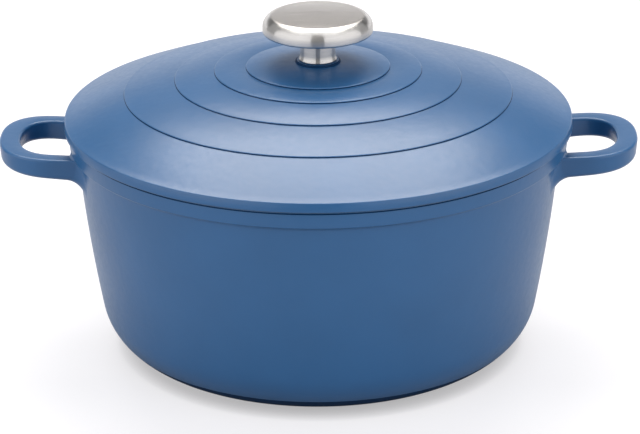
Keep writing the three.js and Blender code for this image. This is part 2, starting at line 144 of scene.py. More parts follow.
PALE_COLOURS = (0.60, 0.55, 0.45), (0.66, 0.61, 0.51)
PALE_ROUGHNESS = 0.26, 0.36
GLAZE = 0.3
GLAZE_ROUGHNESS = 0.15


def pale_enamel():
    finish, nodes, links, base = shader("pale_enamel")
    cloud = between(nodes, links, blotches(nodes, links, 30 * MM), 0.0, 1.0)
    tinted(nodes, links, cloud, *PALE_COLOURS, base)
    roughened(nodes, links, blotches(nodes, links, 2 * MM, 4.0), *PALE_ROUGHNESS, base)
    base.inputs["Coat Weight"].default_value = GLAZE
    base.inputs["Coat Roughness"].default_value = GLAZE_ROUGHNESS
    peel = dents(nodes, links, blotches(nodes, links, 7 * MM, 1.5), 0.12 * MM)
    dents(nodes, links, blotches(nodes, links, 0.9 * MM, 2.0), 0.01 * MM, base, peel)
    return finish


PALE = pale_enamel()

# ---------------------------------------------------------------- ground coat
# The rims that meet, where pot and lid touch: a thin matte grey-black ground coat is all
# that is on the iron there, so the colour coats can't chip against each other.

GROUND_COLOURS = (0.012, 0.014, 0.018), (0.045, 0.047, 0.052)
GROUND_ROUGHNESS = 0.62, 0.45


def ground_coat():
    finish, nodes, links, base = shader("ground_coat")
    fleck = between(nodes, links, blotches(nodes, links, 1.1 * MM, 5.0), 0.0, 1.0, 0.42, 0.68)
    tinted(nodes, links, fleck, *GROUND_COLOURS, base)
    matte = between(nodes, links, fleck, *GROUND_ROUGHNESS, 0.0, 1.0)
    links.new(matte, base.inputs["Roughness"])
    dents(nodes, links, blotches(nodes, links, 0.8 * MM, 4.0), 0.04 * MM, base)
    return finish


GROUND = ground_coat()

# ---------------------------------------------------------------- pot
# One iron casting: a wall that leans out a little and rolls into a flat base, with a
# collar round its mouth. It stands on a flat ring, and the middle of the base is raised.

TURN = 256                                # facets round a casting
RIM_HEIGHT = 122.3 * MM
COLLAR_RADIUS = 130.7 * MM
COLLAR_HEIGHT = 9.0 * MM
COLLAR_EDGE = 0.8 * MM
COVE = 3.0 * MM
WALL_DRAFT = 4.6                          # degrees
WALL_ARC = 880 * MM
WALL = 4.5 * MM
BASE_CORNER = 31 * MM
INNER_CORNER = 26 * MM
FLOOR = 5.5 * MM
FOOT_WIDTH = 13 * MM
FOOT_RECESS = 0.8 * MM
FOOT_SLOPE = ((2.4, 1.0), (1.6, 0.85), (0.6, 0.15))      # (in from the foot, up), in recesses
RIM_EDGE = 1.5 * MM
# A darker blue painted as shade: under the lid's overhang, on the pot's foot and underside, and
# under the collar's edge.
SHADE_PAINTED_UNDER_LID = 1.5 * MM                       # painted shade this far down from the rim, under the lid's edge, this far up from the foot, and this far in and up round the collar's foot, in the crease under it
SHADE_PAINTED_AT_FOOT = 10.0 * MM                     # this far up from the foot,
SHADE_PAINTED_UNDER_COLLAR = (0.3 * MM, 0.24 * MM)       # and this far in and up round the collar's foot
BARE_RIM = 0.48 * MM                      # the ground coat shows this far down from the rim
BARE_MOUTH = 0.75 * MM                    # and from this far outside the mouth
COLLAR_BOTTOM = RIM_HEIGHT - COLLAR_HEIGHT
COLLAR_FLAT = COLLAR_RADIUS - COLLAR_EDGE            # where the collar's edges begin to round
WALL_TOP = COLLAR_BOTTOM - COVE
WALL_TOP_RADIUS = COLLAR_FLAT - COVE
WALL_MIDDLE = (
    WALL_TOP_RADIUS - WALL_ARC * math.cos(math.radians(WALL_DRAFT)),
    WALL_TOP + WALL_ARC * math.sin(math.radians(WALL_DRAFT)),
)
# the last finish is the darker blue that paints shade
CASTING_FINISHES = (BLUE, PALE, GROUND, SHADE_PAINTED_BLUE)
IS_BLUE, IS_PALE, IS_GROUND, IS_SHADE_PAINTED = range(4)


def arc(middle, bend, start, end, steps):
    """Points of an arc in an outline, from one angle to another in degrees."""
    angles = [math.radians(start + (end - start) * i / steps) for i in range(steps + 1)]
    return [(middle[0] + bend * math.cos(a), middle[1] + bend * math.sin(a)) for a in angles]


def wall_reach(inset, height):
    """Radius of the wall at a height, this far inside its outer face."""
    return WALL_MIDDLE[0] + math.sqrt((WALL_ARC - inset) ** 2 - (height - WALL_MIDDLE[1]) ** 2)


def wall_outline(inset, corner, floor, top, corner_steps, wall_steps):
    """The wall from the flat of the floor up: a rolled corner, then a long shallow arc."""
    reach = WALL_ARC - inset
    rise = WALL_MIDDLE[1] - floor - corner
    meet = math.degrees(math.asin(rise / (reach - corner)))
    flat = WALL_MIDDLE[0] + math.sqrt((reach - corner) ** 2 - rise ** 2)
    end = math.degrees(math.asin((top - WALL_MIDDLE[1]) / reach))
    rolled = arc((flat, floor + corner), corner, -90, -meet, corner_steps)
    return rolled + arc(WALL_MIDDLE, reach, -meet, end, wall_steps)[1:]


def turned(outline, facets=TURN, closed=False):
    """An outline of (radius, height) turned about the upright axis into a round skin."""
    bm = bmesh.new()
    corners = [bm.verts.new((radius, 0, height)) for radius, height in outline]
    for first, second in zip(corners, corners[1:]):
        bm.edges.new((first, second))
    if closed:
        bm.edges.new((corners[-1], corners[0]))
    bmesh.ops.spin(
        bm, geom=bm.verts[:] + bm.edges[:], cent=(0, 0, 0), axis=(0, 0, 1),
        angle=2 * math.pi, steps=facets, use_merge=True,
    )
    bmesh.ops.remove_doubles(bm, verts=bm.verts, dist=1e-6)
    bmesh.ops.recalc_face_normals(bm, faces=bm.faces)
    return bm


def made(name, bm, *finishes):
    """A finished piece from its mesh, smooth all over, with its finishes."""
    for face in bm.faces:
        face.smooth = True
    mesh = bpy.data.meshes.new(name)
    bm.to_mesh(mesh)
    bm.free()
    for finish in finishes:
        mesh.materials.append(finish)
    piece = bpy.data.objects.new(name, mesh)
    bpy.context.scene.collection.objects.link(piece)
    return piece


def pot_finish(face, mouth):
    """Which finish covers a face of the pot, by where it lies and where it looks."""
    middle = face.calc_center_median()
    radius, height = middle.xy.length, middle.z
    if height > RIM_HEIGHT - BARE_RIM and mouth + BARE_MOUTH < radius < COLLAR_RADIUS:
        return IS_GROUND
    # painted shade on the foot and the underside
    if height < SHADE_PAINTED_AT_FOOT:
        return IS_SHADE_PAINTED
    # painted shade in the crease under the collar's edge
    if radius > COLLAR_FLAT - SHADE_PAINTED_UNDER_COLLAR[0] and height < COLLAR_BOTTOM + SHADE_PAINTED_UNDER_COLLAR[1]:
        return IS_SHADE_PAINTED
    if face.normal.z > 0 or face.normal.xy.dot(middle.xy) < 0:
        return IS_BLUE if radius > mouth + RIM_EDGE else IS_PALE
    # painted shade on the collar just under the lid's edge
    return IS_SHADE_PAINTED if height > RIM_HEIGHT - SHADE_PAINTED_UNDER_LID else IS_BLUE


def pot_skin():
    lip = RIM_HEIGHT - RIM_EDGE
    mouth = wall_reach(WALL, lip)
    outside = wall_outline(0, BASE_CORNER, 0, WALL_TOP, 20, 14)
    foot = outside[0][0] - FOOT_WIDTH
    inside = wall_outline(WALL, INNER_CORNER, FLOOR, lip, 16, 12)
    inner_lip = arc((mouth + RIM_EDGE, lip), RIM_EDGE, 180, 90, 6)[1:]
    bm = turned([
        (0, FOOT_RECESS),
        *((foot - across * FOOT_RECESS, FOOT_RECESS * up) for across, up in FOOT_SLOPE),
        (foot, 0),
        *outside,
        *arc((COLLAR_FLAT, WALL_TOP), COVE, 180, 90, 7)[1:],
        *arc((COLLAR_FLAT, COLLAR_BOTTOM + COLLAR_EDGE), COLLAR_EDGE, -90, 0, 5)[1:],
        (COLLAR_RADIUS, RIM_HEIGHT - SHADE_PAINTED_UNDER_LID),
        *arc((COLLAR_FLAT, RIM_HEIGHT - COLLAR_EDGE), COLLAR_EDGE, 0, 90, 5),
        *reversed(inside + inner_lip),
        (0, FLOOR),
    ])
    for face in bm.faces:
        face.material_index = pot_finish(face, mouth)
    return bm


pot = made("pot_casting", pot_skin(), *CASTING_FINISHES)
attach(pot, "pot")
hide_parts("pot")

# ---------------------------------------------------------------- handles
# Two loops cast in one with the pot: a rounded bar bent to a D that rises a little to its
# tip, and flares where each leg runs into the wall under the collar.

HANDLE_TIP = 167.7 * MM
HANDLE_BEND = 138 * MM                    # where the straight legs begin to curve
HANDLE_HALF_WIDTH = 34.4 * MM
LEG_WIDTH = 9.5 * MM
TIP_WIDTH = 10.8 * MM
TIP_THICKNESS = 10.2 * MM
ROOT_THICKNESS = 11.5 * MM
HANDLE_RISE = 3.3                         # degrees
HANDLE_DRAFT = 0.5 * MM
TOP_EDGE = 1.3 * MM
BOTTOM_EDGE = 3.0 * MM
BEND_POWER = 2.45                         # 2 is an ellipse, larger is squarer
BEND_STEPS = 60
ROOT_FILLET = 10 * MM
ROOT_SIDE_FILLET = 4.5 * MM
ROOT_TOP_FILLET = 1.2 * MM
ROOT_STEPS = 12
ROOT_TUCK = 0.5 * MM                      # the fillet's border dips this far under the wall
ROOT_SPREAD = 1.12                        # and lies this far out, in fillets
ROOT_DEPTH = 3.4 * MM                     # how far each end runs into the wall


def outside_radius(height):
    """Radius of the pot's outer face at a height, cove and rounded collar included."""
    if height <= WALL_TOP:
        return wall_reach(0, height)
    if height >= COLLAR_BOTTOM:
        under = max(COLLAR_BOTTOM + COLLAR_EDGE - height, 0)
        return COLLAR_FLAT + math.sqrt(COLLAR_EDGE ** 2 - under ** 2)
    return WALL_TOP_RADIUS + COVE - math.sqrt(COVE ** 2 - (height - WALL_TOP) ** 2)


def handle_top(x):
    """Height of the handle's upper side, this far out from the middle of the pot."""
    return COLLAR_BOTTOM + (x - COLLAR_RADIUS) * math.tan(math.radians(HANDLE_RISE))


def bar_outline(width, thickness):
    """The bar cut across: (from its inner side, down from its top)."""
    base = BOTTOM_EDGE - thickness
    outer, inner = [], []
    for share in (i / 9 for i in range(1, 9)):
        down = -TOP_EDGE + (base + TOP_EDGE) * share
        outer.append((width - HANDLE_DRAFT * share, down))
        inner.append((HANDLE_DRAFT * share, down))
    return [
        *arc((TOP_EDGE, -TOP_EDGE), TOP_EDGE, 180, 90, 5),
        *arc((width - TOP_EDGE, -TOP_EDGE), TOP_EDGE, 90, 0, 5),
        *outer,
        *arc((width - HANDLE_DRAFT - BOTTOM_EDGE, base), BOTTOM_EDGE, 0, -90, 8),
        *arc((HANDLE_DRAFT + BOTTOM_EDGE, base), BOTTOM_EDGE, -90, -180, 8),
        *reversed(inner),
    ]


def bend_point(degrees, reach, half_width):
    """A point of the D seen from above."""
    angle = math.radians(degrees)
    power = 2 / BEND_POWER
    across = math.copysign(abs(math.sin(angle)) ** power, degrees)
    return Vector((HANDLE_BEND + reach * abs(math.cos(angle)) ** power, half_width * across, 0))


def bar_ring(degrees):
    """The bar's outline set across the bend."""
    reach = HANDLE_TIP - HANDLE_BEND
    inner = bend_point(degrees, reach - TIP_WIDTH, HANDLE_HALF_WIDTH - LEG_WIDTH)
    outer = bend_point(degrees, reach, HANDLE_HALF_WIDTH)
    width = (outer - inner).length
    along = ((inner.x + outer.x) / 2 - COLLAR_RADIUS) / (HANDLE_TIP - COLLAR_RADIUS)
    thickness = ROOT_THICKNESS + (TIP_THICKNESS - ROOT_THICKNESS) * along
    ring = []
    for across, down in bar_outline(width, thickness):
        place = inner.lerp(outer, across / width)
        ring.append(Vector((place.x, place.y, handle_top(place.x) + down)))
    return ring


def root_ring(side, degrees, spread=None, sink=0.0):
    """The bar's outline at the wall: spread out on it at 0 degrees, the plain leg at 90."""
    angle = math.radians(degrees)
    spread = 1 - math.sin(angle) if spread is None else spread
    half = Vector((LEG_WIDTH / 2, ROOT_THICKNESS / 2))
    ring = []
    for across, down in bar_outline(LEG_WIDTH, ROOT_THICKNESS):
        out = Vector(((across - half.x) / half.x, (down + half.y) / half.y))
        below = ROOT_TOP_FILLET if out.y > 0 else ROOT_FILLET
        share = out.x ** 2 / out.length_squared
        fillet = below + (ROOT_SIDE_FILLET - below) * share
        y = side * (HANDLE_HALF_WIDTH - LEG_WIDTH + across + out.x * ROOT_SIDE_FILLET * spread)
        z = handle_top(COLLAR_RADIUS) + down + out.y * below * spread
        wall = math.sqrt(outside_radius(z) ** 2 - y ** 2)
        ring.append(Vector((wall + fillet * (1 - math.cos(angle)) - sink, y, z)))
    return ring


def drawn_on(bm, edges, corners, ring):
    """The open end of the bar drawn out to its next ring: the new end's edges and corners."""
    drawn = bmesh.ops.extrude_edge_only(bm, edges=edges)["geom"]
    fresh = {v for v in drawn if isinstance(v, bmesh.types.BMVert)}
    ends = [e for e in drawn if isinstance(e, bmesh.types.BMEdge) and set(e.verts) <= fresh]
    partners = [[e.other_vert(v) for e in v.link_edges] for v in corners]
    moved = [next(v for v in near if v in fresh) for near in partners]
    for corner, point in zip(moved, ring):
        corner.co = point
    return ends, moved


def handle_skin():
    """The ring at one root is drawn out step by step to the other root."""
    turns = [90 * i / ROOT_STEPS for i in range(ROOT_STEPS + 1)]
    bends = [180 * i / BEND_STEPS - 90 for i in range(BEND_STEPS + 1)]
    root = {side: [root_ring(side, turn) for turn in turns] for side in (-1, 1)}
    edge = {side: root_ring(side, 0, ROOT_SPREAD, ROOT_TUCK) for side in (-1, 1)}
    tail = {side: root_ring(side, 0, ROOT_SPREAD, ROOT_DEPTH) for side in (-1, 1)}
    bar = [bar_ring(bend) for bend in bends]
    rings = [tail[-1], edge[-1], *root[-1], *bar, *reversed(root[1]), edge[1], tail[1]]
    bm = bmesh.new()
    corners = [bm.verts.new(point) for point in rings[0]]
    edges = [bm.edges.new((a, b)) for a, b in zip(corners, corners[1:] + corners[:1])]
    for ring in rings[1:]:
        edges, corners = drawn_on(bm, edges, corners, ring)
    bmesh.ops.holes_fill(bm, edges=[e for e in bm.edges if e.is_boundary])
    bmesh.ops.recalc_face_normals(bm, faces=bm.faces)
    return bm


for name, angle in (("handle_right", 0), ("handle_left", math.pi)):
    skin = handle_skin()
    bmesh.ops.rotate(skin, verts=skin.verts, cent=(0, 0, 0), matrix=Matrix.Rotation(angle, 3, "Z"))
    handle = made(name, skin, BLUE)
    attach(handle, "pot")

# ---------------------------------------------------------------- lid
# One iron casting: a low dome with four raised rings like shallow terraces, a drafted
# edge that overhangs the collar, and a skirt under it that keeps it centred on the pot.

SEAT_GAP = 0.3 * MM
SEAT = RIM_HEIGHT + SEAT_GAP              # the plane where the lid rests
LID_RADIUS = 133.3 * MM
LID_EDGE_HEIGHT = 5.1 * MM
LID_EDGE_DRAFT = 0.4 * MM
LID_EDGE = 0.7 * MM
LID_SHOULDER = 20, 80                     # degrees: the round from the lid's side to its dome
LID_SIDE = LID_RADIUS - LID_EDGE_DRAFT - LID_EDGE    # where that round is centred
LID_THICKNESS = 4.5 * MM
RINGS = (                                 # radius and height of each step's upper edge
    (101.6 * MM, 17.7 * MM),
    (75.0 * MM, 24.7 * MM),
    (54.2 * MM, 29.1 * MM),
    (37.6 * MM, 30.8 * MM),
)
RING_STEP = 0.9 * MM
RING_EDGE = 0.6 * MM
RING_HOLLOW = 0.12 * MM                   # the small hollow at the foot of each step
# The upright part of each step gets painted shade.
RISER = (-0.05 * MM, 0.15 * MM)           # where a step is upright, from its radius,
RISER_TOP = 0.42 * MM                     # and how far under its upper edge that ends
BAND_CROWN = 0.4 * MM
BAND_FOOT = 0.35 * MM                     # a last short length of a terrace, before its step
BOSS_RADIUS = 11.7 * MM
BOSS_HEIGHT = 1.0 * MM
BOSS_FOOT = 32.9 * MM
BOSS_HOLLOW = (0.3 * MM, 0.2 * MM)
PAD_RADIUS = 11 * MM
PAD_DEPTH = 1.6 * MM
SKIRT_DEPTH = 4.0 * MM
SKIRT_THICKNESS = 3.0 * MM
SKIRT_PLAY = 1.5 * MM                     # between the skirt's foot and the pot's wall
SKIRT_EDGE = 0.8 * MM
SKIRT_RADIUS = wall_reach(WALL, RIM_HEIGHT - SKIRT_DEPTH) - SKIRT_PLAY
SKIRT_INSIDE = SKIRT_RADIUS - SKIRT_THICKNESS
BORE = 3.35 * MM
HAIR = 0.1 * MM                           # the least that tells two neighbouring faces apart
LOOKS_DOWN = -0.7                         # upward part of a face's normal, at most


def raised(outline):
    """An outline lifted to the plane where the lid rests."""
    return [(radius, height + SEAT) for radius, height in outline]


def band(outer, inner, steps=8):
    """One terrace of the dome, from its outer to its inner edge: it swells a little between."""
    points = []
    foot = BAND_FOOT / (outer[0] - inner[0])
    for share in (*(i / steps for i in range(steps)), 1 - foot, 1):
        swell = BAND_CROWN * 4 * share * (1 - share)
        points.append((
            outer[0] + (inner[0] - outer[0]) * share,
            outer[1] + (inner[1] - outer[1]) * share + swell,
        ))
    return points


def step_up(radius, height):
    """The small riser between two terraces: a hollow foot and a rounded upper edge."""
    crest = arc((radius - RING_EDGE, height - RING_EDGE), RING_EDGE, 0, 90, 4)
    return [(radius, height - RING_STEP + RING_HOLLOW), *crest]


def lid_top():
    """The dome from the lid's edge in to the boss."""
    points = []
    start = (LID_SIDE, LID_EDGE_HEIGHT)
    for radius, height in RINGS:
        points += band(start, (radius + RING_HOLLOW, height - RING_STEP))
        points += step_up(radius, height)
        start = (radius - RING_EDGE, height)
    return points + band(start, (BOSS_RADIUS + BOSS_HOLLOW[0], BOSS_FOOT))[1:]


def on_riser(radius, height):
    """Whether a place on the dome is on the upright part of a step, where shade is painted."""
    return any(
        RISER[0] < radius - ring < RISER[1] and height < top - RISER_TOP
        for ring, top in RINGS
    )


def lid_finish(face):
    """Which finish covers a face of the lid, by where it lies and where it looks."""
    middle = face.calc_center_median()
    radius, height = middle.xy.length, middle.z - SEAT
    if face.normal.z < LOOKS_DOWN and radius > SKIRT_RADIUS - HAIR:
        return IS_GROUND
    # painted shade round the boss's upper edge, at the stem's foot
    if height > BOSS_FOOT and BOSS_RADIUS - RING_EDGE < radius < BOSS_RADIUS + 2 * HAIR:
        return IS_SHADE_PAINTED
    # painted shade on the upright part of each step
    if on_riser(radius, height):
        return IS_SHADE_PAINTED
    if height < LID_EDGE_HEIGHT and radius < SKIRT_RADIUS + HAIR:
        return IS_PALE
    return IS_PALE if face.normal.z < 0 and radius < SKIRT_INSIDE + HAIR else IS_BLUE


def lid_skin():
    boss = BOSS_FOOT + BOSS_HEIGHT
    slope = (RINGS[0][1] - LID_EDGE_HEIGHT) / (LID_RADIUS - LID_EDGE_DRAFT - RINGS[0][0])
    under = [(radius, height - LID_THICKNESS) for radius, height in RINGS]
    corner = under[0][1] - slope * (SKIRT_INSIDE - RINGS[0][0])
    skirt_foot = SKIRT_EDGE - SKIRT_DEPTH
    bm = turned(raised([
        (BORE, BOSS_FOOT - LID_THICKNESS - PAD_DEPTH),
        (PAD_RADIUS, BOSS_FOOT - LID_THICKNESS - PAD_DEPTH),
        (PAD_RADIUS + PAD_DEPTH, BOSS_FOOT - LID_THICKNESS),
        *reversed(under),
        (SKIRT_INSIDE - LID_THICKNESS / 4, corner - LID_THICKNESS / 8),
        (SKIRT_INSIDE, corner - LID_THICKNESS / 2),
        *arc((SKIRT_INSIDE + SKIRT_EDGE, skirt_foot), SKIRT_EDGE, 180, 270, 4),
        *arc((SKIRT_RADIUS - SKIRT_EDGE, skirt_foot), SKIRT_EDGE, -90, 0, 4),
        (SKIRT_RADIUS, 0),
        *arc((LID_RADIUS - LID_EDGE, LID_EDGE), LID_EDGE, -90, 0, 5),
        *arc((LID_SIDE, LID_EDGE_HEIGHT - LID_EDGE), LID_EDGE, *LID_SHOULDER, 5),
        *lid_top()[1:],
        (BOSS_RADIUS, BOSS_FOOT + BOSS_HOLLOW[1]),
        *arc((BOSS_RADIUS - RING_EDGE, boss - RING_EDGE), RING_EDGE, 0, 90, 4),
        (BORE, boss),
    ]), closed=True)
    for face in bm.faces:
        face.material_index = lid_finish(face)
    return bm


lid = made("lid_casting", lid_skin(), *CASTING_FINISHES)
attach(lid, "lid")
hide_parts("lid")

# ---------------------------------------------------------------- knob shell
# A cup spun from stainless sheet: its side rolls over into a slightly crowned top, and its
# lip is rolled in under the plate. The top is brushed one way, the side fine-turned.

KNOB_FOOT = SEAT + BOSS_FOOT + BOSS_HEIGHT
STEM_LENGTH = 15.8 * MM
HEAD_RADIUS = 28.8 * MM
HEAD_HEIGHT = 9.5 * MM
HEAD_SIDE = 6.4 * MM
HEAD_EDGE = 1.2 * MM
HEAD_CROWN = 0.8 * MM
SHELL = 1.2 * MM
LIP_RADIUS = 24.6 * MM
KNOB_TURN = 192                           # facets round the knob
PLATE_BOTTOM = KNOB_FOOT + SEAT_GAP + STEM_LENGTH + SEAT_GAP
LIP_TOP = PLATE_BOTTOM - SEAT_GAP
LIP_BOTTOM = LIP_TOP - SHELL
HEAD_TOP = LIP_BOTTOM + HEAD_HEIGHT
HEAD_MIDDLE = (HEAD_RADIUS - HEAD_SIDE, HEAD_TOP - HEAD_SIDE)
BRUSHED_RADIUS = HEAD_MIDDLE[0] + 2.6 * MM           # the brushing ends on the roll's shoulder
LOOKS_UP = 0.86                           # upward part of a face's normal, at least
LINE_SHADE = 0.90                         # share of the colour in the last tool's lines
LINE_ROUGHNESS = 0.9, 1.1                 # and shares of the roughness, in and between them


def steel(name, colour, roughness, lines, depth):
    """Stainless steel with fine lines left by its last tool."""
    finish, nodes, links, base = shader(name)
    base.inputs["Metallic"].default_value = 1.0
    grain = between(nodes, links, blotches(nodes, links, 0.6 * MM, 5.0, lines), 0.0, 1.0)
    tinted(nodes, links, grain, tuple(LINE_SHADE * c for c in colour), colour, base)
    low, high = (roughness * share for share in LINE_ROUGHNESS)
    links.new(between(nodes, links, grain, low, high, 0.0, 1.0), base.inputs["Roughness"])
    dents(nodes, links, grain, depth, base)
    return finish


def lined(finish, axis, turn, pull):
    """Reflections drawn out across the lines of the last tool, which run round an axis."""
    nodes, links = finish.node_tree.nodes, finish.node_tree.links
    base = nodes["Principled BSDF"]
    around = nodes.new("ShaderNodeTangent")
    around.direction_type = "RADIAL"
    around.axis = axis
    base.inputs["Anisotropic"].default_value = pull
    base.inputs["Anisotropic Rotation"].default_value = turn
    links.new(around.outputs["Tangent"], base.inputs["Tangent"])
    return finish


BRUSHED = lined(
    steel("brushed_steel", (0.625, 0.603, 0.590), 0.20, (0.006, 1.0, 0.2), 0.003 * MM),
    axis="X", turn=0.0, pull=0.8,
)
TURNED = lined(
    steel("turned_steel", (0.68, 0.668, 0.65), 0.23, (0.05, 0.05, 1.0), 0.0002 * MM),
    axis="Z", turn=0.25, pull=1.0,
)


def side_outline(bottom, inset, steps):
    """The side from below: a small roll, a short upright and the wide roll over the top."""
    edge = max(HEAD_EDGE - inset, 0)
    upright = HEAD_RADIUS - inset
    lower = arc((upright - edge, bottom + edge), edge, -90, 0, 5) if edge else [(upright, bottom)]
    return lower + arc(HEAD_MIDDLE, HEAD_SIDE - inset, 0, 90, steps)


def crown_outline(top, steps=6):
    """The crowned top face from the middle out."""
    shares = [i / steps for i in range(steps)]
    return [(HEAD_MIDDLE[0] * s, top + HEAD_CROWN * (1 - s ** 2)) for s in shares]


def shell_skin():
    bm = turned([
        *crown_outline(HEAD_TOP - SHELL),
        *reversed(side_outline(LIP_TOP, SHELL, 8)),
        (LIP_RADIUS, LIP_TOP),
        (LIP_RADIUS, LIP_BOTTOM),
        *side_outline(LIP_BOTTOM, 0, 20),
        *reversed(crown_outline(HEAD_TOP)),
    ], KNOB_TURN)
    for face in bm.faces:
        middle = face.calc_center_median()
        on_top = middle.xy.length < BRUSHED_RADIUS and face.normal.z > LOOKS_UP
        face.material_index = 1 if on_top else 0
    return bm


shell = made("knob_shell_spun", shell_skin(), TURNED, BRUSHED)
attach(shell, "lid")
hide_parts("knob_shell")

# ---------------------------------------------------------------- knob stem
# Turned from stainless bar: it widens at its foot, holds the gasket there, takes the screw
# in a blind hole, and is riveted over the plate inside the head.

STEM_RADIUS = 9.3 * MM
STEM_FLARE = 0.7 * MM
STEM_FLARE_HEIGHT = 3.5 * MM
STEM_EDGE = 0.4 * MM
STEM_TURN = 128
SHARP = math.radians(40)                  # an edge that turns by more than this stays crisp
RIVET_RADIUS = 5 * MM
RIVET_HEAD = (6.8 * MM, 1.2 * MM)
GASKET_RIM = 1.5 * MM
GASKET = (STEM_RADIUS - GASKET_RIM - SEAT_GAP, 1.2 * MM)
PLATE = 1.5 * MM
STEM_FOOT = KNOB_FOOT + SEAT_GAP
STEM_SHOULDER = STEM_FOOT + STEM_LENGTH
BORE_TOP = KNOB_FOOT + 13 * MM
THREAD_BORE = 3.3 * MM


def flare_outline(steps=8):
    """The stem's side where it widens to its foot, from the foot up."""
    height = STEM_FLARE_HEIGHT - STEM_EDGE
    shares = [i / steps for i in range(steps + 1)]
    return [
        (STEM_RADIUS + STEM_FLARE * (1 - s) ** 2, STEM_FOOT + STEM_EDGE + height * s)
        for s in shares
    ]


def stem_skin():
    recess = KNOB_FOOT + GASKET[1] + 2 * SEAT_GAP
    rivet = PLATE_BOTTOM + PLATE + SEAT_GAP
    foot = STEM_RADIUS + STEM_FLARE - STEM_EDGE
    bm = turned([
        (0, BORE_TOP),
        (THREAD_BORE, BORE_TOP),
        (THREAD_BORE, recess),
        (GASKET[0] + SEAT_GAP, recess),
        (GASKET[0] + SEAT_GAP, STEM_FOOT),
        *arc((foot, STEM_FOOT + STEM_EDGE), STEM_EDGE, -90, 0, 4),
        *flare_outline()[1:],
        (STEM_RADIUS, STEM_SHOULDER),
        (RIVET_RADIUS, STEM_SHOULDER),
        (RIVET_RADIUS, rivet),
        (RIVET_HEAD[0], rivet),
        (RIVET_HEAD[0] - RIVET_HEAD[1] / 2, rivet + RIVET_HEAD[1]),
        (0, rivet + RIVET_HEAD[1]),
    ], STEM_TURN)
    for edge in bm.edges:
        edge.smooth = not (len(edge.link_faces) == 2 and edge.calc_face_angle() > SHARP)
    return bm


stem = made("knob_stem_turned", stem_skin(), TURNED)
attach(stem, "lid")
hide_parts("knob_stem")

# ---------------------------------------------------------------- plate, screw and washers
# Steel hardware: the plate that closes the head, and the pan-head screw that clamps the knob
# from inside the lid, with a split lock washer and a flat washer under its head.

PLAIN = steel("plain_steel", (0.52, 0.52, 0.53), 0.30, (1.0, 1.0, 1.0), 0.004 * MM)
HARDWARE = ("knob_plate", "knob_screw", "lock_washer", "flat_washer")


def refinished(node, finish):
    """A piece whose CAD shape is right already gets its finish."""
    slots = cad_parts[node].data.materials
    slots.clear()
    slots.append(finish)


for node in HARDWARE:
    refinished(node, PLAIN)

# ---------------------------------------------------------------- gasket
# A soft ring moulded in dark silicone. It sits in the foot of the stem, seals the screw's
# bore and keeps the steel off the enamel.


def silicone():
    finish, nodes, links, base = shader("dark_silicone")
    base.inputs["Base Color"].default_value = (0.022, 0.023, 0.026, 1.0)
    roughened(nodes, links, blotches(nodes, links, 1 * MM), 0.55, 0.7, base)
    return finish


refinished("knob_gasket", silicone())

# ---------------------------------------------------------------- studio
# A pale floor under a large soft light above and behind, with a softer one at each front
# side. White papers and grey cards stand round the oven, and show only in reflections.

FLOOR_LEVEL = -0.2 * MM
FLOOR_CORNERS = (-8, -8), (8, -8), (8, 8), (-8, 8)
OVERHEAD_CORNERS = (-1.0, -1.5), (-1.0, 0.35), (1.0, 0.35), (1.0, -1.5)
OVERHEAD_HEIGHT = 1.8
FLOOR_COLOUR = (0.38, 0.378, 0.392, 1.0)
WHITE = (1.0, 0.99, 1.0, 1.0)
# The floor's glow is lower near the oven, and dimmed by ambient occlusion round its foot as
# painted shadow, both where the camera sees it and in reflections.
FAR_LIFT = 0.66, 0.88, 0.25, 1.6          # the floor's glow near and far, and the distances
TOUCH_REACH = 9 * MM                      # painted contact shadow: the foot dims that glow this far out, to the first share of it where space is shut in
TOUCH_LIFT = 0.60, 1.0, 0.25, 0.95        # to the first share of it where space is shut in
MIRROR_REACH = 70 * MM                    # painted shade in reflections: the foot dims the mirrored floor this far out, where it glows from the first to the second value
MIRROR_LIFT = 0.0, 0.34, 0.25, 1.0        # where it glows from the first to the second value
PAPER_COLOUR = (0.22, 0.218, 0.22, 1.0)
CARD_COLOUR = (0.40, 0.40, 0.40, 1.0)
WARM = (1.0, 0.965, 0.91)
NEUTRAL = (1.0, 1.0, 1.0)
AIM = (0, 0, 0.12)                        # the lamps look at the middle of the oven
SURROUND = 0.43                           # strength of the surround's light
SURROUND_COLOUR = (1.0, 0.995, 1.0, 1.0)


def worked(nodes, links, operation, *values):
    """A number worked out from others, such as their product."""
    node = nodes.new("ShaderNodeMath")
    node.operation = operation
    for value, socket in zip(values, node.inputs):
        links.new(value, socket)
    return node.outputs["Value"]


def openness(nodes, reach):
    """How open the space round a place is: 1 is open, 0 is shut in."""
    node = nodes.new("ShaderNodeAmbientOcclusion")
    node.inputs["Distance"].default_value = reach
    return node.outputs["AO"]


